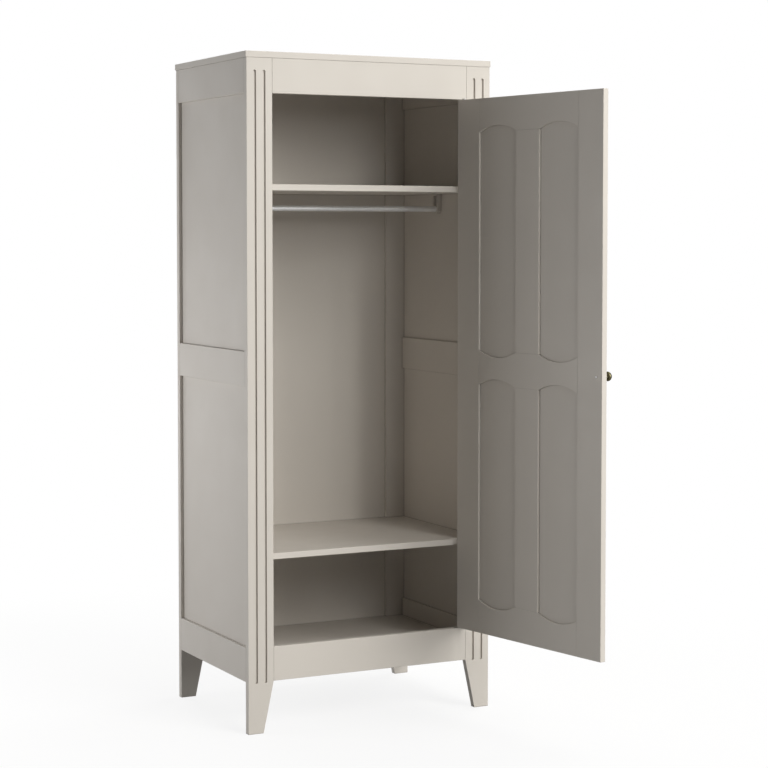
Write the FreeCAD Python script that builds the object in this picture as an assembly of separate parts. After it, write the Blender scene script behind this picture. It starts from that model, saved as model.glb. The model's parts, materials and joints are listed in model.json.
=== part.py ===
import FreeCAD, Part
import math
import os
from collections import namedtuple

from FreeCAD import Vector

# A single-door wardrobe of painted boards on four tapered legs, with its door open.
# Millimetres. The origin is on the floor under the middle of the posts' outline.
# +X is to the right seen from the front, +Y is to the back, +Z is up.

# Overall size, measured over the top panel
overall_width = 800.0
overall_depth = 550.0
overall_height = 1960.0

# Top panel
top_thickness = 18.0
top_side_overhang = 2.5
top_front_overhang = 1.0
top_back_overhang = 2.0

# Posts and their tapered legs
post_width = 80.0
post_thickness = 20.0
leg_height = 150.0
foot_width = 48.0

# Flutes of the front posts, left by a straight cutter
flute_radius = 4.5
flute_depth = 5.5
flute_spacing = 29.0
flute_top_margin = 35.0
flute_below_rail = 3.5

# Rails of the front and the sides
rail_height = 100.0
side_rail_thickness = 21.0
side_mid_rail_height = 100.0
side_mid_rail_rise = 9.0

# Panels and the grooves that hold them
side_panel_thickness = 4.0
side_panel_recess = 10.0
back_panel_thickness = 5.0
back_panel_setback = 10.0
groove_depth = 8.0
groove_end_gap = 1.0
groove_clearance = 0.1

# Bottom panel and shelves
shelf_thickness = 18.0
floor_drop = 57.0
lower_space = 307.0
hat_space = 358.0
shelf_end_gap = 0.5
shelf_relief_width = 30.0
shelf_relief_depth = 20.0

# Rounding of the boards' edges, on the cabinet and at the finer joints of the door
edge_round = 1.2
door_edge_round = 0.8

# Dowels: their depth in a long board and across a board's thickness
dowel_radius = 4.0
dowel_chamfer = 0.8
dowel_long_depth = 20.0
dowel_short_depth = 12.0
dowel_spacing_share = 0.5
dowel_clearance = 0.1
dowel_end_gap = 1.0
shelf_dowel_shares = (0.3, 0.6)
top_dowel_share = 0.6

# Hanging rail and its holders
tube_radius = 9.0
tube_wall = 1.2
tube_drop = 47.0
tube_setback = 292.0
tube_clearance = 0.1
tube_end_gap = 1.0
holder_width = 31.0
holder_thickness = 13.5
holder_below_tube = 12.0
holder_corner = 9.0
holder_socket_depth = 9.0
holder_base = 5.0
holder_wall = 5.0
holder_pocket_rise = 11.5
holder_screw_shares = (0.2, 0.8)
holder_screw_cover = 1.0

# Door frame
door_gap = 2.0
door_thickness = 18.0
door_stile_width = 100.0
door_mullion_width = 100.0
door_rail_height = 100.0
door_mid_rail_height = 102.0
door_dowel_spacing_share = 0.4
door_open_angle = 100.0

# Door panels with arched ends
arch_rise = 19.0
door_panel_thickness = 5.0
door_groove_depth = 7.0

# Pivot hinges: the pin stands in front of the door's face, a little in from its edge
pivot_edge_distance = 6.0
pivot_proud = 3.0
pivot_pin_radius = 2.5
pivot_running_clearance = 0.05
pivot_seat_clearance = 0.02
pivot_nose_radius = 5.5
pivot_plate_length = 34.0
pivot_plate_width = 12.0
pivot_plate_inset = 3.0
pivot_plate_thickness = 2.5
pivot_washer_radius = 5.0
mortise_clearance = 0.1
plate_screw_length = 14.0
plate_screw_shares = (0.18, 0.5)

# Screws
screw_head_radius = 3.0
screw_head_depth = 1.5
screw_shank_radius = 1.5
screw_tip = 2.0
screw_clearance = 0.1
pan_head_height = 1.8
recess_length_share = 0.6
recess_width_share = 0.16
recess_depth_share = 0.35
back_screw_length = 25.0
back_screw_shares = (-0.85, -0.3, 0.3, 0.85)

# Knob and its bolt
knob_edge_distance = 23.0
knob_length = 36.0
knob_foot_radius = 7.5
knob_foot_height = 2.0
knob_neck_radius = 4.5
knob_neck_height = 11.0
knob_head_radius = 13.5
knob_head_low = 21.0
knob_head_high = 29.0
knob_rim_round = 1.5
knob_bolt_radius = 2.0
knob_bolt_depth = 12.0
knob_bolt_clearance = 0.05
knob_bolt_head_radius = 3.8

# Magnetic catch at the top of the door, and the bumpers that the door closes against
catch_edge_distance = 40.0
catch_radius = 5.0
magnet_length = 10.0
strike_head_thickness = 1.5
strike_pin_radius = 1.8
strike_pin_length = 12.0
catch_clearance = 0.1
bumper_radius = 3.5
bumper_edge_distance = 4.5
bumper_clearance = 0.3

# How far a cutting shape runs past the face that it cuts
overrun = 5.0

# Levels and planes worked out from these sizes
ACROSS = Vector(1, 0, 0)
BACK = Vector(0, 1, 0)
UP = Vector(0, 0, 1)
FULL_TURN = 360

side_x = (overall_width - 2 * top_side_overhang) / 2
opening_x = side_x - post_width
body_depth = overall_depth - top_front_overhang - top_back_overhang
front_y = -body_depth / 2
back_y = body_depth / 2
inner_front_y = front_y + post_thickness
inner_back_y = back_y - post_thickness

case_top = overall_height - top_thickness
opening_top = case_top - rail_height
opening_low = leg_height + rail_height
opening_middle = (opening_low + opening_top) / 2
side_middle = opening_middle + side_mid_rail_rise

side_rail_x = (side_x - side_rail_thickness, side_x)
side_panel_x = (side_x - side_panel_recess - side_panel_thickness, side_x - side_panel_recess)
front_rail_levels = {"bottom": (leg_height, opening_low), "top": (opening_top, case_top)}
side_rail_levels = {
    "bottom": front_rail_levels["bottom"],
    "mid": (side_middle - side_mid_rail_height / 2, side_middle + side_mid_rail_height / 2),
    "top": front_rail_levels["top"],
}
side_panel_levels = {
    "lower": (side_rail_levels["bottom"][1], side_rail_levels["mid"][0]),
    "upper": (side_rail_levels["mid"][1], side_rail_levels["top"][0]),
}

back_panel_front = inner_back_y + back_panel_setback
back_panel_y = (back_panel_front, back_panel_front + back_panel_thickness)
floor_top = opening_low - floor_drop
hat_shelf_top = case_top - hat_space
shelf_tops = {
    "bottom_panel": floor_top,
    "lower_shelf": floor_top + lower_space + shelf_thickness,
    "hat_shelf": hat_shelf_top,
}
panel_tongue = groove_depth - groove_end_gap
inner_y = (inner_front_y, inner_back_y)

tube_z = hat_shelf_top - shelf_thickness - tube_drop
tube_y = front_y + tube_setback
holder_inner_x = side_panel_x[0] - holder_thickness

hinge_x = opening_x - door_gap
lock_x = -hinge_x
door_y = (front_y, front_y + door_thickness)
door_middle_y = front_y + door_thickness / 2
door_low = opening_low + door_gap
door_top = opening_top - door_gap
pivot = Vector(hinge_x - pivot_edge_distance, front_y - pivot_proud, 0)

SIDES = {"left": -1, "right": 1}
Peg = namedtuple("Peg", "point direction behind ahead")
pieces = {}


def block(x, y, z):
    """A box between three pairs of coordinates."""
    return Part.makeBox(x[1] - x[0], y[1] - y[0], z[1] - z[0], Vector(x[0], y[0], z[0]))


def board(x, y, z, radius):
    """A box with all its edges rounded."""
    plain = block(x, y, z)
    return plain.makeFillet(radius, plain.Edges)


def grown(pair, margin):
    """A pair of coordinates moved apart at both ends."""
    return (pair[0] - margin, pair[1] + margin)


def outline(points):
    """The edges of a closed outline through the points."""
    ring = points + points[:1]
    return [Part.LineSegment(a, b).toShape() for a, b in zip(ring, ring[1:])]


def turned(edges, point, direction, cuts=()):
    """A solid turned from an outline in the XZ plane, cut, and set at a point along a direction."""
    solid = cut_away(Part.Face(Part.Wire(edges)).revolve(Vector(), UP, FULL_TURN), cuts)
    solid.Placement = FreeCAD.Placement(point, FreeCAD.Rotation(UP, direction))
    return solid


def profile(pairs):
    """A closed outline from pairs of radius and height."""
    return outline([Vector(radius, 0, height) for radius, height in pairs])


def cut_away(shape, tools):
    """The shape without those of the tools that reach it."""
    near = [tool for tool in tools if tool.BoundBox.intersect(shape.BoundBox)]
    left_over = shape.cut(near) if near else shape
    return left_over.Solids[0]


def runs_across(edge):
    """Whether an edge runs from side to side."""
    return edge.BoundBox.XLength > max(edge.BoundBox.YLength, edge.BoundBox.ZLength)


def sided(shape, sign):
    """A right-hand shape, or its mirror image on the left."""
    return shape.mirror(Vector(), ACROSS) if sign < 0 else shape.copy()


def dowel(peg):
    plain = Part.makeCylinder(
        dowel_radius, peg.behind + peg.ahead, peg.point - peg.direction * peg.behind, peg.direction)
    ends = [edge for edge in plain.Edges if edge.Closed]
    return plain.makeChamfer(dowel_chamfer, ends)


def dowel_hole(peg):
    start = peg.point - peg.direction * (peg.behind + dowel_end_gap)
    length = peg.behind + peg.ahead + 2 * dowel_end_gap
    return Part.makeCylinder(dowel_radius + dowel_clearance, length, start, peg.direction)


def cross_recess(head_radius, level):
    """The cuts of a cross recess in a screw head whose face is at a level."""
    length = grown((0, 0), head_radius * recess_length_share)
    width = grown((0, 0), head_radius * recess_width_share)
    depth = (level - overrun, level + head_radius * recess_depth_share)
    return [block(length, width, depth), block(width, length, depth)]


def countersunk_screw(point, direction, length, extra=0.0):
    """A screw whose head is flush at the point; extra makes the hole that it sits in."""
    shank = screw_shank_radius + extra
    pairs = [(0, 0), (screw_head_radius + extra, 0), (shank, screw_head_depth + extra),
             (shank, length - screw_tip), (0, length + extra)]
    cuts = [] if extra else cross_recess(screw_head_radius, 0)
    return turned(profile(pairs), point, direction, cuts)


def pan_screw(point, direction, head_radius, shank_radius, length):
    """A screw whose head stands on the face at the point."""
    crown = head_radius - pan_head_height / 2
    pairs = [(0, -pan_head_height), (crown, -pan_head_height), (head_radius, -pan_head_height / 2),
             (head_radius, 0), (shank_radius, 0), (shank_radius, length), (0, length)]
    return turned(profile(pairs), point, direction, cross_recess(head_radius, -pan_head_height))


def flute_cutter(x):
    """The flat-bottomed slot of one flute, round at both ends."""
    low = leg_height - flute_below_rail + flute_radius
    high = case_top - flute_top_margin - flute_radius
    start_y = front_y - overrun
    left_low = Vector(x - flute_radius, start_y, low)
    left_high = Vector(x - flute_radius, start_y, high)
    right_low = Vector(x + flute_radius, start_y, low)
    right_high = Vector(x + flute_radius, start_y, high)
    edges = [
        Part.LineSegment(left_low, left_high).toShape(),
        Part.Arc(left_high, Vector(x, start_y, high + flute_radius), right_high).toShape(),
        Part.LineSegment(right_high, right_low).toShape(),
        Part.Arc(right_low, Vector(x, start_y, low - flute_radius), left_low).toShape(),
    ]
    return Part.Face(Part.Wire(edges)).extrude(Vector(0, overrun + flute_depth, 0))


def arched_prism(x, z, y, margin=0.0):
    """A panel's shape with arched ends, grown evenly by a margin, between two depths."""
    half = (x[1] - x[0]) / 2
    middle = (x[0] + x[1]) / 2
    radius = (half ** 2 + arch_rise ** 2) / (2 * arch_rise) + margin
    reach = half + margin
    drop = radius - math.sqrt(radius ** 2 - reach ** 2)
    crown = z[1] + arch_rise + margin
    trough = z[0] - arch_rise - margin
    low_left = Vector(middle - reach, y[0], trough + drop)
    low_right = Vector(middle + reach, y[0], trough + drop)
    high_right = Vector(middle + reach, y[0], crown - drop)
    high_left = Vector(middle - reach, y[0], crown - drop)
    edges = [
        Part.Arc(low_left, Vector(middle, y[0], trough), low_right).toShape(),
        Part.LineSegment(low_right, high_right).toShape(),
        Part.Arc(high_right, Vector(middle, y[0], crown), high_left).toShape(),
        Part.LineSegment(high_left, low_left).toShape(),
    ]
    return Part.Face(Part.Wire(edges)).extrude(BACK * (y[1] - y[0]))


def pivot_plate(z, margin=0.0):
    """A hinge plate with a rounded nose around the pin, or its mortise with a margin."""
    plate_y = front_y + pivot_plate_inset
    bar = block(grown((hinge_x - pivot_plate_length, hinge_x), margin),
                grown((plate_y, plate_y + pivot_plate_width), margin), z)
    radius = pivot_nose_radius + margin
    neck = block((pivot.x - radius, pivot.x + radius), (pivot.y, plate_y + pivot_plate_width / 2), z)
    nose = Part.makeCylinder(radius, z[1] - z[0], pivot + UP * z[0], UP)
    return bar.fuse([neck, nose]).removeSplitter().Solids[0]


def plate_screws(places, direction, extra=0.0):
    """The screws of one hinge plate, or the holes for them."""
    return [countersunk_screw(place, direction, plate_screw_length, extra) for place in places]


def pin_hole(radius, z):
    return Part.makeCylinder(radius, z[1] - z[0] + 2 * overrun, pivot + UP * (z[0] - overrun), UP)


# Dowels of the front frame, between the rails' ends and the posts' inner edges
post_middle_y = front_y + post_thickness / 2
front_pegs = []
for sign in SIDES.values():
    for low, high in front_rail_levels.values():
        for step in (-1, 1):
            level = (low + high) / 2 + step * dowel_spacing_share * (high - low) / 2
            place = Vector(sign * opening_x, post_middle_y, level)
            front_pegs.append(Peg(place, ACROSS * sign, dowel_long_depth, dowel_long_depth))

# Dowels of the sides, between the side rails' ends and the posts' faces
side_pegs = {"left": [], "right": []}
for side, sign in SIDES.items():
    rail_middle_x = sign * (side_x - side_rail_thickness / 2)
    for low, high in side_rail_levels.values():
        for step in (-1, 1):
            level = (low + high) / 2 + step * dowel_spacing_share * (high - low) / 2
            for face_y, way in ((inner_front_y, -1), (inner_back_y, 1)):
                place = Vector(rail_middle_x, face_y, level)
                side_pegs[side].append(Peg(place, BACK * way, dowel_long_depth, dowel_short_depth))

# Dowels of the bottom panel and the shelves, into the front and rear posts
shelf_pegs = []
for shelf_top in shelf_tops.values():
    level = shelf_top - shelf_thickness / 2
    for sign in SIDES.values():
        for share in shelf_dowel_shares:
            for face_y, way in ((inner_front_y, -1), (inner_back_y, 1)):
                place = Vector(sign * (opening_x + share * post_width), face_y, level)
                shelf_pegs.append(Peg(place, BACK * way, dowel_long_depth, dowel_short_depth))

# Dowels of the top panel, into the posts, the front rail and the side rails
top_pegs = []
for sign in SIDES.values():
    post_x = sign * (side_x - post_width / 2)
    places = [(post_x, post_middle_y), (post_x, back_y - post_thickness / 2)]
    places.append((sign * opening_x * top_dowel_share, post_middle_y))
    rail_x = sign * (side_x - side_rail_thickness / 2)
    places += [(rail_x, inner_front_y * top_dowel_share), (rail_x, inner_back_y * top_dowel_share)]
    for x, y in places:
        top_pegs.append(Peg(Vector(x, y, case_top), UP, dowel_long_depth, dowel_short_depth))

cabinet_pegs = front_pegs + side_pegs["left"] + side_pegs["right"] + shelf_pegs + top_pegs
cabinet_holes = [dowel_hole(peg) for peg in cabinet_pegs]

# Grooves for the side panels and the back panel
side_slots = []
for low, high in side_panel_levels.values():
    slot_x = grown(side_panel_x, groove_clearance)
    side_slots.append(block(slot_x, grown(inner_y, groove_depth), grown((low, high), groove_depth)))
back_low = floor_top - shelf_thickness
back_slot = block(grown((-opening_x, opening_x), groove_depth), grown(back_panel_y, groove_clearance),
                  (back_low - groove_end_gap, case_top + groove_depth))


# Posts
def post(y):
    """The right-hand post between two depths, its leg tapered on the inner side."""
    corners = [(side_x, 0), (side_x, case_top), (opening_x, case_top), (opening_x, leg_height),
               (side_x - foot_width, 0)]
    edges = outline([Vector(x, y[0], z) for x, z in corners])
    plain = Part.Face(Part.Wire(edges)).extrude(BACK * (y[1] - y[0]))
    return plain.makeFillet(edge_round, plain.Edges)


post_middle_x = (opening_x + side_x) / 2
flutes = [flute_cutter(post_middle_x + step * flute_spacing / 2) for step in (-1, 1)]
front_post = cut_away(post((front_y, inner_front_y)), flutes + side_slots + cabinet_holes)
rear_post = cut_away(post((inner_back_y, back_y)), side_slots + [back_slot] + cabinet_holes)
for side, sign in SIDES.items():
    pieces["front_%s_post" % side] = sided(front_post, sign)
    pieces["rear_%s_post" % side] = sided(rear_post, sign)

# Side rails and side panels
for side, sign in SIDES.items():
    for name, level in side_rail_levels.items():
        rail = board(side_rail_x, inner_y, level, edge_round)
        pieces["%s_%s_rail" % (side, name)] = sided(cut_away(rail, side_slots + cabinet_holes), sign)

# Screws of the rail holders, from the pocket into the upper side panels
holder_x = (holder_inner_x, side_panel_x[0])
holder_y = (tube_y - holder_width / 2, tube_y + holder_width / 2)
holder_z = (tube_z - holder_below_tube, hat_shelf_top - shelf_thickness)
holder_seat_x = side_panel_x[0] - holder_base
pocket_z = (tube_z + holder_pocket_rise, holder_z[1] - holder_wall)
holder_screw_length = holder_base + side_panel_thickness - holder_screw_cover
holder_screws = []
holder_screw_holes = []
for share in holder_screw_shares:
    place = Vector(holder_seat_x, tube_y, pocket_z[0] + share * (pocket_z[1] - pocket_z[0]))
    screw = pan_screw(place, ACROSS, screw_head_radius, screw_shank_radius, holder_screw_length)
    holder_screws.append(screw)
    holder_screw_holes.append(Part.makeCylinder(
        screw_shank_radius + screw_clearance, holder_screw_length + screw_clearance, place, ACROSS))

for side, sign in SIDES.items():
    for name, level in side_panel_levels.items():
        panel = block(side_panel_x, grown(inner_y, panel_tongue), grown(level, panel_tongue))
        pieces["%s_%s_panel" % (side, name)] = sided(cut_away(panel, holder_screw_holes), sign)

# Back panel, with its screws along the rear edges of the bottom panel and the shelves
back_screw_places = []
for shelf_top in shelf_tops.values():
    level = shelf_top - shelf_thickness / 2
    for share in back_screw_shares:
        back_screw_places.append(Vector(share * opening_x, back_panel_y[1], level))
back_screws = [countersunk_screw(place, -BACK, back_screw_length) for place in back_screw_places]
back_screw_holes = [
    countersunk_screw(place, -BACK, back_screw_length, screw_clearance) for place in back_screw_places]
back_panel_x = grown((-opening_x, opening_x), panel_tongue)
back_panel = block(back_panel_x, back_panel_y, (back_low, case_top + panel_tongue))
pieces["back_panel"] = cut_away(back_panel, back_screw_holes)
pieces["back_panel_screws"] = Part.makeCompound(back_screws)


# Bottom panel and shelves, each with a tongue between the rear posts
def shelf(half_width, top):
    """A board that fills the space between the posts and reaches back to the back panel."""
    tongue_x = opening_x - shelf_end_gap
    corners = [
        (-half_width, inner_front_y), (half_width, inner_front_y), (half_width, inner_back_y),
        (tongue_x, inner_back_y), (tongue_x, back_panel_y[0]), (-tongue_x, back_panel_y[0]),
        (-tongue_x, inner_back_y), (-half_width, inner_back_y),
    ]
    edges = outline([Vector(x, y, top - shelf_thickness) for x, y in corners])
    plain = Part.Face(Part.Wire(edges)).extrude(UP * shelf_thickness)
    front = [edge for edge in plain.Edges if runs_across(edge) and edge.BoundBox.YMax < 0]
    return plain.makeFillet(edge_round, front)


shelf_half_widths = {
    "bottom_panel": side_rail_x[0] - shelf_end_gap,
    "lower_shelf": side_panel_x[0] - shelf_end_gap,
    "hat_shelf": side_panel_x[0] - shelf_end_gap,
}
# A relief in the front edge of each shelf, on the door's hinge side
shelf_cuts = cabinet_holes + back_screw_holes
for name in ("lower_shelf", "hat_shelf"):
    relief_x = (opening_x - shelf_relief_width, opening_x)
    relief_y = (inner_front_y - overrun, inner_front_y + shelf_relief_depth)
    relief_z = grown((shelf_tops[name] - shelf_thickness, shelf_tops[name]), overrun)
    shelf_cuts.append(block(relief_x, relief_y, relief_z))
for name, shelf_top in shelf_tops.items():
    pieces[name] = cut_away(shelf(shelf_half_widths[name], shelf_top), shelf_cuts)

# Top panel
top_x = grown((-side_x, side_x), top_side_overhang)
top_y = (front_y - top_front_overhang, back_y + top_back_overhang)
top_panel = board(top_x, top_y, (case_top, overall_height), edge_round)
pieces["top_panel"] = cut_away(top_panel, cabinet_holes + [back_slot])

# Hanging rail, a tube held at both ends in a socket
tube_end_x = holder_inner_x + holder_socket_depth - tube_end_gap
tube_start = Vector(-tube_end_x, tube_y, tube_z)
tube = Part.makeCylinder(tube_radius, 2 * tube_end_x, tube_start, ACROSS)
tube_bore = Part.makeCylinder(tube_radius - tube_wall, 2 * tube_end_x, tube_start, ACROSS)
pieces["hanging_rail"] = tube.cut(tube_bore)

# Rail holders under the hat shelf: a socket for the tube, and a pocket for two screws above it
holder_blank = block(holder_x, holder_y, holder_z)
lower_edges = [edge for edge in holder_blank.Edges if runs_across(edge) and edge.BoundBox.ZMax < tube_z]
socket = Part.makeCylinder(
    tube_radius + tube_clearance, holder_socket_depth, Vector(holder_inner_x, tube_y, tube_z), ACROSS)
pocket = block((holder_inner_x - overrun, holder_seat_x), grown(holder_y, -holder_wall), pocket_z)
holder_blank = holder_blank.makeFillet(holder_corner, lower_edges)
holder = cut_away(holder_blank, [socket, pocket] + holder_screw_holes)
for side, sign in SIDES.items():
    pieces["rail_holder_%s" % side] = sided(holder, sign)
pieces["rail_holder_screws"] = Part.makeCompound(
    [sided(screw, sign) for sign in SIDES.values() for screw in holder_screws])

# Pivot hinges at the top and bottom corner of the door
frame_plate_z = {
    "upper": (opening_top, opening_top + pivot_plate_thickness),
    "lower": (opening_low - pivot_plate_thickness, opening_low),
}
door_plate_z = {
    "upper": (door_top - pivot_plate_thickness, door_top),
    "lower": (door_low, door_low + pivot_plate_thickness),
}
pivot_up = {"upper": UP, "lower": -UP}
screw_xs = [hinge_x - pivot_plate_length * (1 - share) for share in plate_screw_shares]
screw_y = front_y + pivot_plate_inset + pivot_plate_width / 2
washers = []
frame_plate_screws = []
door_plate_screws = []
frame_cuts = []
door_cuts = []
door_pieces = {}
for end, way in pivot_up.items():
    frame_face = opening_top if end == "upper" else opening_low
    door_face = door_top if end == "upper" else door_low
    frame_z = frame_plate_z[end]
    door_z = door_plate_z[end]
    frame_places = [Vector(x, screw_y, frame_face) for x in screw_xs]
    door_places = [Vector(x, screw_y, door_face) for x in screw_xs]
    frame_plate_screws += plate_screws(frame_places, way)
    door_plate_screws += plate_screws(door_places, -way)
    frame_holes = plate_screws(frame_places, way, screw_clearance)
    door_holes = plate_screws(door_places, -way, screw_clearance)
    frame_cuts += frame_holes + [pivot_plate(frame_z, mortise_clearance)]
    door_cuts += door_holes + [pivot_plate(door_z, mortise_clearance)]
    seat = pin_hole(pivot_pin_radius + pivot_seat_clearance, frame_z)
    bearing = pin_hole(pivot_pin_radius + pivot_running_clearance, door_z)
    pieces["pivot_frame_plate_%s" % end] = cut_away(pivot_plate(frame_z), frame_holes + [seat])
    door_pieces["pivot_door_plate_%s" % end] = cut_away(pivot_plate(door_z), door_holes + [bearing])
    pin_low = min(frame_z[0], door_z[0])
    pin_high = max(frame_z[1], door_z[1])
    pin = Part.makeCylinder(pivot_pin_radius, pin_high - pin_low, pivot + UP * pin_low, UP)
    pieces["pivot_pin_%s" % end] = pin
    washer = Part.makeCylinder(pivot_washer_radius, door_gap, pivot + UP * min(frame_face, door_face), UP)
    washers.append(cut_away(washer, [pin_hole(pivot_pin_radius + pivot_running_clearance, frame_z)]))
pieces["pivot_washers"] = Part.makeCompound(washers)
pieces["frame_plate_screws"] = Part.makeCompound(frame_plate_screws)
door_pieces["door_plate_screws"] = Part.makeCompound(door_plate_screws)

# Magnetic catch: a magnet in the top rail above a steel strike in the door's top edge
catch_x = lock_x + catch_edge_distance
magnet_place = Vector(catch_x, door_middle_y, opening_top)
strike_place = Vector(catch_x, door_middle_y, door_top)
pieces["catch_magnet"] = Part.makeCylinder(catch_radius, magnet_length, magnet_place, UP)
frame_cuts.append(Part.makeCylinder(catch_radius + catch_clearance, magnet_length, magnet_place, UP))


def strike(extra=0.0):
    """A drawing-pin strike, flush with the door's top edge, or the hole for it."""
    head = catch_radius + extra
    stem = strike_pin_radius + extra
    pairs = [(0, 0), (head, 0), (head, strike_head_thickness), (stem, strike_head_thickness),
             (stem, strike_pin_length), (0, strike_pin_length)]
    return turned(profile(pairs), strike_place, -UP)


door_pieces["catch_strike"] = strike()
door_cuts.append(strike(catch_clearance))

# Front rails
for name, level in front_rail_levels.items():
    rail = board((-opening_x, opening_x), (front_y, inner_front_y), level, edge_round)
    pieces["front_%s_rail" % name] = cut_away(rail, cabinet_holes + frame_cuts)

# Bumpers on the front edges of the shelves, behind the door's lock stile
bumper_length = post_thickness - door_thickness - bumper_clearance
bumper_x = bumper_edge_distance - opening_x
bumpers = []
for name in ("lower_shelf", "hat_shelf"):
    place = Vector(bumper_x, inner_front_y, shelf_tops[name] - shelf_thickness / 2)
    bumpers.append(Part.makeCylinder(bumper_radius, bumper_length, place, -BACK))
pieces["door_bumpers"] = Part.makeCompound(bumpers)

# Dowels of the cabinet
for name, pegs in (("front_frame_dowels", front_pegs), ("left_side_dowels", side_pegs["left"]),
                   ("right_side_dowels", side_pegs["right"]), ("shelf_dowels", shelf_pegs),
                   ("top_dowels", top_pegs)):
    pieces[name] = Part.makeCompound([dowel(peg) for peg in pegs])

# Door frame and panels, drawn closed
stile_inner_x = hinge_x - door_stile_width
mullion_half = door_mullion_width / 2
door_columns = {"hinge_side": (mullion_half, stile_inner_x), "lock_side": (-stile_inner_x, -mullion_half)}
door_mid = (opening_middle - door_mid_rail_height / 2, opening_middle + door_mid_rail_height / 2)
door_rows = {
    "lower": (door_low + door_rail_height, door_mid[0]),
    "upper": (door_mid[1], door_top - door_rail_height),
}
door_panel_y = (door_middle_y - door_panel_thickness / 2, door_middle_y + door_panel_thickness / 2)

door_grooves = []
for column, x in door_columns.items():
    for row, z in door_rows.items():
        door_grooves.append(arched_prism(x, z, grown(door_panel_y, groove_clearance), door_groove_depth))
        door_pieces["door_%s_panel_%s" % (row, column)] = arched_prism(
            x, z, door_panel_y, door_groove_depth - groove_end_gap)

door_rail_levels = {
    "top": (door_rows["upper"][1], door_top),
    "mid": door_mid,
    "bottom": (door_low, door_rows["lower"][0]),
}
door_pegs = []
for low, high in door_rail_levels.values():
    for step in (-1, 1):
        level = (low + high) / 2 + step * door_dowel_spacing_share * (high - low) / 2
        for sign in SIDES.values():
            place = Vector(sign * stile_inner_x, door_middle_y, level)
            door_pegs.append(Peg(place, ACROSS * sign, dowel_long_depth, dowel_long_depth))
for low, high in door_rows.values():
    for level in (low, high):
        door_pegs.append(Peg(Vector(0, door_middle_y, level), UP, dowel_long_depth, dowel_long_depth))
door_holes = [dowel_hole(peg) for peg in door_pegs]
door_pieces["door_dowels"] = Part.makeCompound([dowel(peg) for peg in door_pegs])

# Knob on the outer face, held by a bolt through the lock stile
knob_x = lock_x + knob_edge_distance
knob_place = Vector(knob_x, door_y[0], opening_middle)
bolt_place = Vector(knob_x, door_y[1], opening_middle)
bolt_length = door_thickness + knob_bolt_depth - knob_bolt_clearance
bolt_hole = Part.makeCylinder(
    knob_bolt_radius + knob_bolt_clearance, door_thickness + knob_bolt_depth, bolt_place, -BACK)


def knob():
    """A mushroom knob: a foot, a waisted neck and a domed head with a rounded rim."""
    rim = knob_head_radius - knob_rim_round
    rise = knob_length - knob_head_high
    dome_radius = (rim ** 2 + rise ** 2) / (2 * rise)
    dome_half = math.asin(rim / dome_radius) / 2
    dome_middle = Vector(
        dome_radius * math.sin(dome_half), 0, knob_length - dome_radius * (1 - math.cos(dome_half)))
    foot = Vector(knob_foot_radius, 0, knob_foot_height)
    under_rim = Vector(rim, 0, knob_head_low)
    outer_rim = Vector(knob_head_radius, 0, (knob_head_low + knob_head_high) / 2)
    over_rim = Vector(rim, 0, knob_head_high)
    top = Vector(0, 0, knob_length)
    edges = [
        Part.LineSegment(Vector(), Vector(knob_foot_radius, 0, 0)).toShape(),
        Part.LineSegment(Vector(knob_foot_radius, 0, 0), foot).toShape(),
        Part.Arc(foot, Vector(knob_neck_radius, 0, knob_neck_height), under_rim).toShape(),
        Part.Arc(under_rim, outer_rim, over_rim).toShape(),
        Part.Arc(over_rim, dome_middle, top).toShape(),
        Part.LineSegment(top, Vector()).toShape(),
    ]
    return turned(edges, knob_place, -BACK)


door_pieces["knob"] = cut_away(knob(), [bolt_hole])
door_pieces["knob_bolt"] = pan_screw(bolt_place, -BACK, knob_bolt_head_radius, knob_bolt_radius, bolt_length)

door_boards = {
    "door_hinge_stile": ((stile_inner_x, hinge_x), (door_low, door_top)),
    "door_lock_stile": ((lock_x, -stile_inner_x), (door_low, door_top)),
    "door_upper_mullion": ((-mullion_half, mullion_half), door_rows["upper"]),
    "door_lower_mullion": ((-mullion_half, mullion_half), door_rows["lower"]),
}
all_door_cuts = door_grooves + door_holes + door_cuts + [bolt_hole]
for name, (x, z) in door_boards.items():
    door_pieces[name] = cut_away(board(x, door_y, z, door_edge_round), all_door_cuts)


def rail_edge(z, rise):
    """A door rail's edge from side to side, bowed by a rise at each panel, or straight with no rise."""
    left, mid_left, mid_right, right = [
        Vector(x, door_y[0], z) for x in (-stile_inner_x, -mullion_half, mullion_half, stile_inner_x)]
    if not rise:
        return [Part.LineSegment(left, right).toShape()]
    bow = UP * rise
    return [
        Part.Arc(left, (left + mid_left) / 2 + bow, mid_left).toShape(),
        Part.LineSegment(mid_left, mid_right).toShape(),
        Part.Arc(mid_right, (mid_right + right) / 2 + bow, right).toShape(),
    ]


def door_rail(z, low_rise, high_rise):
    """A door rail between two levels, its edges rounded."""
    ends = [Part.LineSegment(Vector(x, door_y[0], z[0]), Vector(x, door_y[0], z[1])).toShape()
            for x in (-stile_inner_x, stile_inner_x)]
    edges = rail_edge(z[0], low_rise) + rail_edge(z[1], high_rise) + ends
    ring = Part.Wire(Part.sortEdges(edges)[0])
    plain = Part.Face(ring).extrude(BACK * door_thickness)
    return plain.makeFillet(door_edge_round, plain.Edges)


door_rail_rises = {"top": (arch_rise, 0), "mid": (arch_rise, -arch_rise), "bottom": (0, -arch_rise)}
for name, rises in door_rail_rises.items():
    rail = door_rail(door_rail_levels[name], *rises)
    door_pieces["door_%s_rail" % name] = cut_away(rail, all_door_cuts)

# The door stands open, turned about its pivots
for name, shape in door_pieces.items():
    opened = shape.copy()
    opened.rotate(pivot, UP, door_open_angle)
    pieces[name] = opened

os.makedirs("parts", exist_ok=True)
for name, shape in pieces.items():
    shape.exportStep(os.path.join("parts", name + ".step"))
print(len(pieces), "pieces")
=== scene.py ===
"""Looks of a painted single-door wardrobe that stands open, in plain studio light."""

import json
import math

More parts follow.
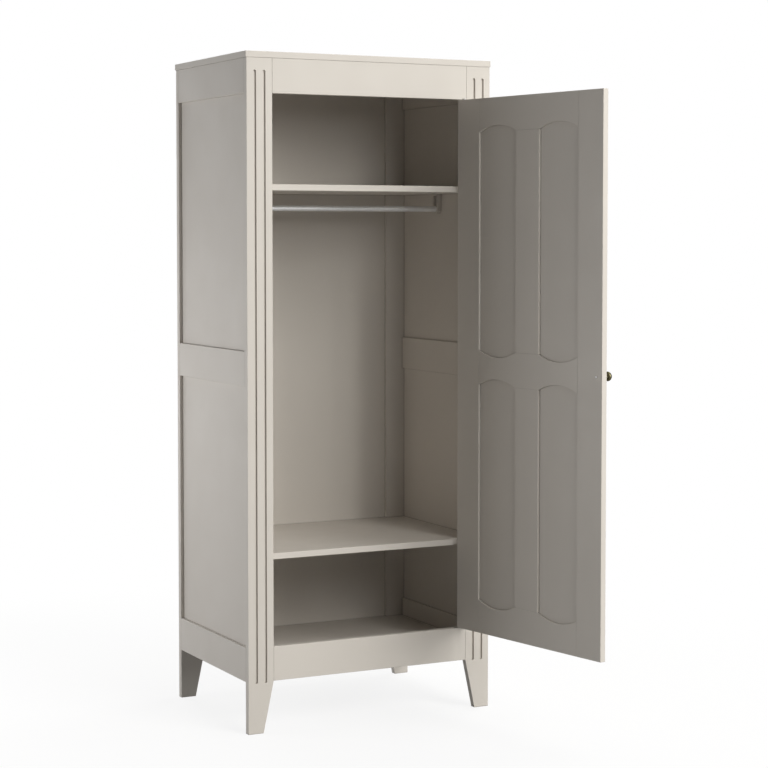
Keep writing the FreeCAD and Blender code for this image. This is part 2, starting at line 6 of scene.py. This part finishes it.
import bpy
from mathutils import Euler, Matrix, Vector

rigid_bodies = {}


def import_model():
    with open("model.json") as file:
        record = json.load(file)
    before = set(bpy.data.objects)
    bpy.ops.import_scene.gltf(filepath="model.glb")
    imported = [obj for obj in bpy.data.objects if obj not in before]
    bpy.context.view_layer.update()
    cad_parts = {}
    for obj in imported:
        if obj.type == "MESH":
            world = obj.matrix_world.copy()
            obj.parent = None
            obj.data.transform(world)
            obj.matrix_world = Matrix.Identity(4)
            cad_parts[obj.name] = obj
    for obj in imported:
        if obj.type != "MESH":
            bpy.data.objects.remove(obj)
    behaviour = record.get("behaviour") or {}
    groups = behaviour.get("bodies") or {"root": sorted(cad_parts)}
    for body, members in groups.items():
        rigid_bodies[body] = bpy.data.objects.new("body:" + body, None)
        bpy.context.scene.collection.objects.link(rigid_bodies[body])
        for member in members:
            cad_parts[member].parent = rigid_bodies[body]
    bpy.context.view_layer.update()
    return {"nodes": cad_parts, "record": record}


# Camera: its place in metres, its turn in degrees, its lens and sensor in millimetres
CAMERA_PLACE = (-2.6670, -5.5680, 1.4463)
CAMERA_YAW = -27.083
CAMERA_PITCH = -2.997
CAMERA_LENS = 94.667
CAMERA_SENSOR = 36.0
CAMERA_SHIFT_Y = -0.06

# Light: the world's share for surfaces, and soft boxes around the wardrobe's middle, each given by its
# azimuth (from the front, to the right) and elevation in degrees, distance and side in metres, watts
# and colour
WORLD_AMBIENT = 0.032
LIGHT_AIM = (0.0, 0.0, 0.95)
WARM = (1.0, 0.99, 0.955)
NEUTRAL = (1.0, 1.0, 1.0)
SOFT_BOXES = {
    "far_high": (20, 35, 12.0, 5.0, 634.0, WARM),
    "far_low": (32, 12, 12.0, 5.0, 521.0, WARM),
    "near_front": (4, 20, 5.0, 1.6, 47.8, WARM),
    "right_high": (90, 65, 5.0, 2.4, 91.0, WARM),
    "left_side": (-104, 0, 2.3, 1.1, 19.4, NEUTRAL),
    "left_rear": (-150, 0, 1.6, 0.8, 1.7, NEUTRAL),
    "right_side": (120, 20, 5.0, 2.4, 64.0, NEUTRAL),
    "behind": (180, 20, 5.0, 2.4, 64.0, NEUTRAL),
}

# Floor: its colour as it lights the wardrobe and as it is seen, how far it keeps the shadow, and how
# strongly
FLOOR_SIZE = 12.0
FLOOR_BOUNCE = (0.39, 0.39, 0.39)
FLOOR_COLOUR = (0.90, 0.90, 0.90)
FLOOR_ROUGHNESS = 0.9
FLOOR_SHADOW_REACH = 2.2
FLOOR_SHADOW_SHARE = 0.18
WHITE = (1, 1, 1, 1)

# Noise: the part of its values that is spread over a range, and its usual roughness. Below, a noise is
# given by its cells per metre, its detail and, where it isn't the usual one, its roughness. A bump is
# given by its height in metres and its strength
NOISE_LOW = 0.3
NOISE_HIGH = 0.7
NOISE_ROUGHNESS = 0.5

# Paint by slot: a warm grey on smooth boards
PAINT_COLOUR = (0.651, 0.612, 0.565)
PAINT_SHADE = (0.632, 0.593, 0.546)
PAINT_CLOUDS = (2.5, 3)
PAINT_SHEEN = (14.0, 4)
PAINT_ROUGHNESS = (0.46, 0.58)
PAINT_SPECULAR = 0.3
PAINT_WAVES = (30.0, 2)
PAINT_WAVE_BUMP = (0.0004, 0.12)
PAINT_STIPPLE = (900.0, 2)
PAINT_STIPPLE_BUMP = (0.00008, 0.25)
PAINTS = {"paint": "greige_paint", "holder_plastic": "greige_holder"}

# Painted shade in corners and joints: how far a corner darkens the paint, the colour of the painted
# shade, and how much of it shows
PAINTED_SHADE_REACH = 0.0035
PAINTED_SHADE_COLOUR = (0.200, 0.180, 0.160)
PAINTED_SHADE_SHARE = 0.8
PAINTED_SHADE_SAMPLES = 16

# The fine grain of metals and dull solids
GRAIN_BUMP = (0.00005, 0.2)

# Metals by slot: name, dark and light tone, roughness, share of metal, tint of the rim's reflection
METAL_PATCHES = (60.0, 5, 0.6)
METAL_POLISH = (180.0, 3)
METAL_GRAIN = (1200.0, 2)
METALS = {
    "bright_steel": ("bright_steel", (0.84, 0.85, 0.86), (0.90, 0.91, 0.92), (0.40, 0.48), 0.5, 1.0),
    "steel": ("zinc_steel", (0.26, 0.26, 0.26), (0.40, 0.39, 0.38), (0.40, 0.52), 1.0, 1.0),
    "brass": ("aged_brass", (0.030, 0.027, 0.014), (0.150, 0.134, 0.076), (0.20, 0.36), 1.0, 0.15),
    "magnet": ("dark_magnet", (0.10, 0.10, 0.11), (0.16, 0.16, 0.17), (0.40, 0.55), 1.0, 1.0),
}

# Dull solids by slot: name, dark and light tone, roughness
DULL_PATCHES = (80.0, 4)
DULL_POLISH = (160.0, 3)
DULL_GRAIN = (960.0, 2)
DULL_SOLIDS = {
    "dowel_wood": ("beech", (0.52, 0.34, 0.19), (0.66, 0.46, 0.28), (0.54, 0.66)),
    "washer_plastic": ("nylon", (0.66, 0.65, 0.61), (0.74, 0.73, 0.69), (0.39, 0.51)),
    "bumper_rubber": ("clear_rubber", (0.44, 0.41, 0.36), (0.52, 0.49, 0.43), (0.49, 0.61)),
}


def new_material(name):
    """A material with an empty tree but for its output and one principled shader."""
    material = bpy.data.materials.new(name)
    material.use_nodes = True
    tree = material.node_tree
    tree.nodes.clear()
    output = tree.nodes.new("ShaderNodeOutputMaterial")
    shader = tree.nodes.new("ShaderNodeBsdfPrincipled")
    tree.links.new(shader.outputs["BSDF"], output.inputs["Surface"])
    return material, tree, shader


def noise(tree, scale, detail, roughness=NOISE_ROUGHNESS):
    """Noise in the object's own metres, from 0 to 1."""
    place = tree.nodes.new("ShaderNodeTexCoord")
    made = tree.nodes.new("ShaderNodeTexNoise")
    made.inputs["Scale"].default_value = scale
    made.inputs["Detail"].default_value = detail
    made.inputs["Roughness"].default_value = roughness
    tree.links.new(place.outputs["Object"], made.inputs["Vector"])
    return made.outputs["Fac"]


def spread(tree, value, low, high):
    """Noise moved to a range."""
    made = tree.nodes.new("ShaderNodeMapRange")
    made.inputs["From Min"].default_value = NOISE_LOW
    made.inputs["From Max"].default_value = NOISE_HIGH
    made.inputs["To Min"].default_value = low
    made.inputs["To Max"].default_value = high
    tree.links.new(value, made.inputs["Value"])
    return made.outputs["Result"]


def blend_colours(tree, value, dark, light):
    """A colour between two, by a 0 to 1 value."""
    made = tree.nodes.new("ShaderNodeMix")
    made.data_type = "RGBA"
    made.inputs["A"].default_value = (*dark, 1)
    made.inputs["B"].default_value = (*light, 1)
    tree.links.new(value, made.inputs["Factor"])
    return made.outputs["Result"]


def blend_shaders(tree, value, first, second):
    """A shader between two, by a 0 to 1 value."""
    made = tree.nodes.new("ShaderNodeMixShader")
    tree.links.new(value, made.inputs["Fac"])
    tree.links.new(first.outputs[0], made.inputs[1])
    tree.links.new(second.outputs[0], made.inputs[2])
    return made


def painted_corner_shade(tree, colour):
    """A colour with painted shade that goes darker in inner corners and in the joints between boards.
    """
    nearby = tree.nodes.new("ShaderNodeAmbientOcclusion")
    nearby.samples = PAINTED_SHADE_SAMPLES
    nearby.inputs["Distance"].default_value = PAINTED_SHADE_REACH
    openness = tree.nodes.new("ShaderNodeMapRange")
    openness.inputs["To Min"].default_value = 1 - PAINTED_SHADE_SHARE
    tree.links.new(nearby.outputs["AO"], openness.inputs["Value"])
    made = tree.nodes.new("ShaderNodeMix")
    made.data_type = "RGBA"
    made.inputs["A"].default_value = (*PAINTED_SHADE_COLOUR, 1)
    tree.links.new(colour, made.inputs["B"])
    tree.links.new(openness.outputs["Result"], made.inputs["Factor"])
    return made.outputs["Result"]


def bump(tree, shader, value, height, strength, below=None):
    """A bump from a value, stacked on another bump if there is one."""
    made = tree.nodes.new("ShaderNodeBump")
    made.inputs["Distance"].default_value = height
    made.inputs["Strength"].default_value = strength
    tree.links.new(value, made.inputs["Height"])
    if below:
        tree.links.new(below, made.inputs["Normal"])
    tree.links.new(made.outputs["Normal"], shader.inputs["Normal"])
    return made.outputs["Normal"]


def paint_material(name):
    """Satin paint from a fine roller: soft mottling, a little waviness and a fine stipple."""
    material, tree, shader = new_material(name)
    clouds = spread(tree, noise(tree, *PAINT_CLOUDS), 0, 1)
    colour = blend_colours(tree, clouds, PAINT_SHADE, PAINT_COLOUR)
    # The base colour gets painted shade in inner corners and joints
    tree.links.new(painted_corner_shade(tree, colour), shader.inputs["Base Color"])
    sheen = spread(tree, noise(tree, *PAINT_SHEEN), *PAINT_ROUGHNESS)
    tree.links.new(sheen, shader.inputs["Roughness"])
    shader.inputs["Specular IOR Level"].default_value = PAINT_SPECULAR
    waves = bump(tree, shader, noise(tree, *PAINT_WAVES), *PAINT_WAVE_BUMP)
    bump(tree, shader, noise(tree, *PAINT_STIPPLE), *PAINT_STIPPLE_BUMP, waves)
    return material


def metal_material(name, dark, light, roughness, metallic, rim):
    """Metal with uneven tone and polish."""
    material, tree, shader = new_material(name)
    patches = spread(tree, noise(tree, *METAL_PATCHES), 0, 1)
    tree.links.new(blend_colours(tree, patches, dark, light), shader.inputs["Base Color"])
    polish = spread(tree, noise(tree, *METAL_POLISH), *roughness)
    tree.links.new(polish, shader.inputs["Roughness"])
    shader.inputs["Metallic"].default_value = metallic
    shader.inputs["Specular Tint"].default_value = (rim, rim, rim, 1)
    bump(tree, shader, noise(tree, *METAL_GRAIN), *GRAIN_BUMP)
    return material


def dull_material(name, dark, light, roughness):
    """A dull solid with slight mottling, such as plastic, rubber or bare beech."""
    material, tree, shader = new_material(name)
    patches = spread(tree, noise(tree, *DULL_PATCHES), 0, 1)
    tree.links.new(blend_colours(tree, patches, dark, light), shader.inputs["Base Color"])
    polish = spread(tree, noise(tree, *DULL_POLISH), *roughness)
    tree.links.new(polish, shader.inputs["Roughness"])
    bump(tree, shader, noise(tree, *DULL_GRAIN), *GRAIN_BUMP)
    return material


def materials():
    """The material of each of the record's slots."""
    made = {slot: paint_material(name) for slot, name in PAINTS.items()}
    for slot, values in METALS.items():
        made[slot] = metal_material(*values)
    for slot, values in DULL_SOLIDS.items():
        made[slot] = dull_material(*values)
    return made


def dress(frame):
    """Each piece of the frame gets the material of its slot."""
    by_slot = materials()
    for part in frame["record"]["subparts"]:
        piece = frame["nodes"][part["node"]]
        piece.data.materials.clear()
        piece.data.materials.append(by_slot[part["material_slot"]])


def soft_box(name, azimuth, elevation, distance, side, power, colour):
    """A square lamp that faces the wardrobe's middle."""
    lamp = bpy.data.lights.new(name, "AREA")
    lamp.size = side
    lamp.energy = power
    lamp.color = colour
    around = Euler((0, 0, math.radians(azimuth))).to_matrix()
    upward = Euler((math.radians(-elevation), 0, 0)).to_matrix()
    away = around @ upward @ Vector((0, -1, 0))
    holder = bpy.data.objects.new(name, lamp)
    holder.location = Vector(LIGHT_AIM) + away * distance
    holder.rotation_euler = away.to_track_quat("Z", "Y").to_euler()
    holder.visible_camera = False
    bpy.context.scene.collection.objects.link(holder)


def seen_directly(tree):
    """1 for rays that show the background itself, to the camera or in a reflection."""
    path = tree.nodes.new("ShaderNodeLightPath")
    total = path.outputs["Is Camera Ray"]
    for name in ("Is Glossy Ray", "Is Transmission Ray"):
        larger = tree.nodes.new("ShaderNodeMath")
        larger.operation = "MAXIMUM"
        tree.links.new(total, larger.inputs[0])
        tree.links.new(path.outputs[name], larger.inputs[1])
        total = larger.outputs[0]
    return total


def white_world():
    """A world that looks white and lights the surfaces only a little."""
    world = bpy.data.worlds.new("studio")
    bpy.context.scene.world = world
    world.use_nodes = True
    tree = world.node_tree
    tree.nodes.clear()
    output = tree.nodes.new("ShaderNodeOutputWorld")
    seen = tree.nodes.new("ShaderNodeBackground")
    seen.inputs["Color"].default_value = WHITE
    ambient = tree.nodes.new("ShaderNodeBackground")
    ambient.inputs["Color"].default_value = WHITE
    ambient.inputs["Strength"].default_value = WORLD_AMBIENT
    choice = blend_shaders(tree, seen_directly(tree), ambient, seen)
    tree.links.new(choice.outputs[0], output.inputs["Surface"])


def shadow_share(tree):
    """How much of its shading the floor shows: most under the wardrobe, and none past the reach."""
    place = tree.nodes.new("ShaderNodeTexCoord")
    scale = tree.nodes.new("ShaderNodeMapping")
    scale.inputs["Scale"].default_value = (1 / FLOOR_SHADOW_REACH,) * 3
    tree.links.new(place.outputs["Object"], scale.inputs["Vector"])
    near = tree.nodes.new("ShaderNodeTexGradient")
    near.gradient_type = "SPHERICAL"
    tree.links.new(scale.outputs["Vector"], near.inputs["Vector"])
    share = tree.nodes.new("ShaderNodeMath")
    share.operation = "MULTIPLY"
    share.inputs[1].default_value = FLOOR_SHADOW_SHARE
    tree.links.new(near.outputs["Fac"], share.inputs[0])
    return share.outputs[0]


def floor_material():
    """A matt floor that looks white, apart from a faint shadow, and lights the wardrobe from below."""
    material, tree, shader = new_material("pale_floor")
    shader.inputs["Base Color"].default_value = (*FLOOR_BOUNCE, 1)
    shader.inputs["Roughness"].default_value = FLOOR_ROUGHNESS
    shader.inputs["Specular IOR Level"].default_value = 0.0
    white = tree.nodes.new("ShaderNodeEmission")
    shaded = tree.nodes.new("ShaderNodeBsdfDiffuse")
    shaded.inputs["Color"].default_value = (*FLOOR_COLOUR, 1)
    shown = blend_shaders(tree, shadow_share(tree), white, shaded)
    choice = blend_shaders(tree, seen_directly(tree), shader, shown)
    output = next(node for node in tree.nodes if node.type == "OUTPUT_MATERIAL")
    tree.links.new(choice.outputs[0], output.inputs["Surface"])
    return material


def pale_floor():
    """A square of floor under the wardrobe."""
    half = FLOOR_SIZE / 2
    corners = [(-half, -half, 0), (half, -half, 0), (half, half, 0), (-half, half, 0)]
    mesh = bpy.data.meshes.new("floor")
    mesh.from_pydata(corners, [], [(0, 1, 2, 3)])
    floor = bpy.data.objects.new("floor", mesh)
    bpy.context.scene.collection.objects.link(floor)
    mesh.materials.append(floor_material())


def camera():
    """The photograph's viewpoint."""
    data = bpy.data.cameras.new("camera")
    data.lens = CAMERA_LENS
    data.sensor_width = CAMERA_SENSOR
    data.shift_y = CAMERA_SHIFT_Y
    holder = bpy.data.objects.new("camera", data)
    holder.location = CAMERA_PLACE
    holder.rotation_euler = (math.radians(90 + CAMERA_PITCH), 0, math.radians(CAMERA_YAW))
    bpy.context.scene.collection.objects.link(holder)
    bpy.context.scene.camera = holder


def main():
    """The wardrobe with its materials, on a floor, in light, seen by the camera."""
    for thing in list(bpy.data.objects):
        bpy.data.objects.remove(thing)
    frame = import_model()
    bpy.context.scene.view_settings.view_transform = "Standard"
    dress(frame)
    camera()
    white_world()
    pale_floor()
    for name, values in SOFT_BOXES.items():
        soft_box(name, *values)


main()
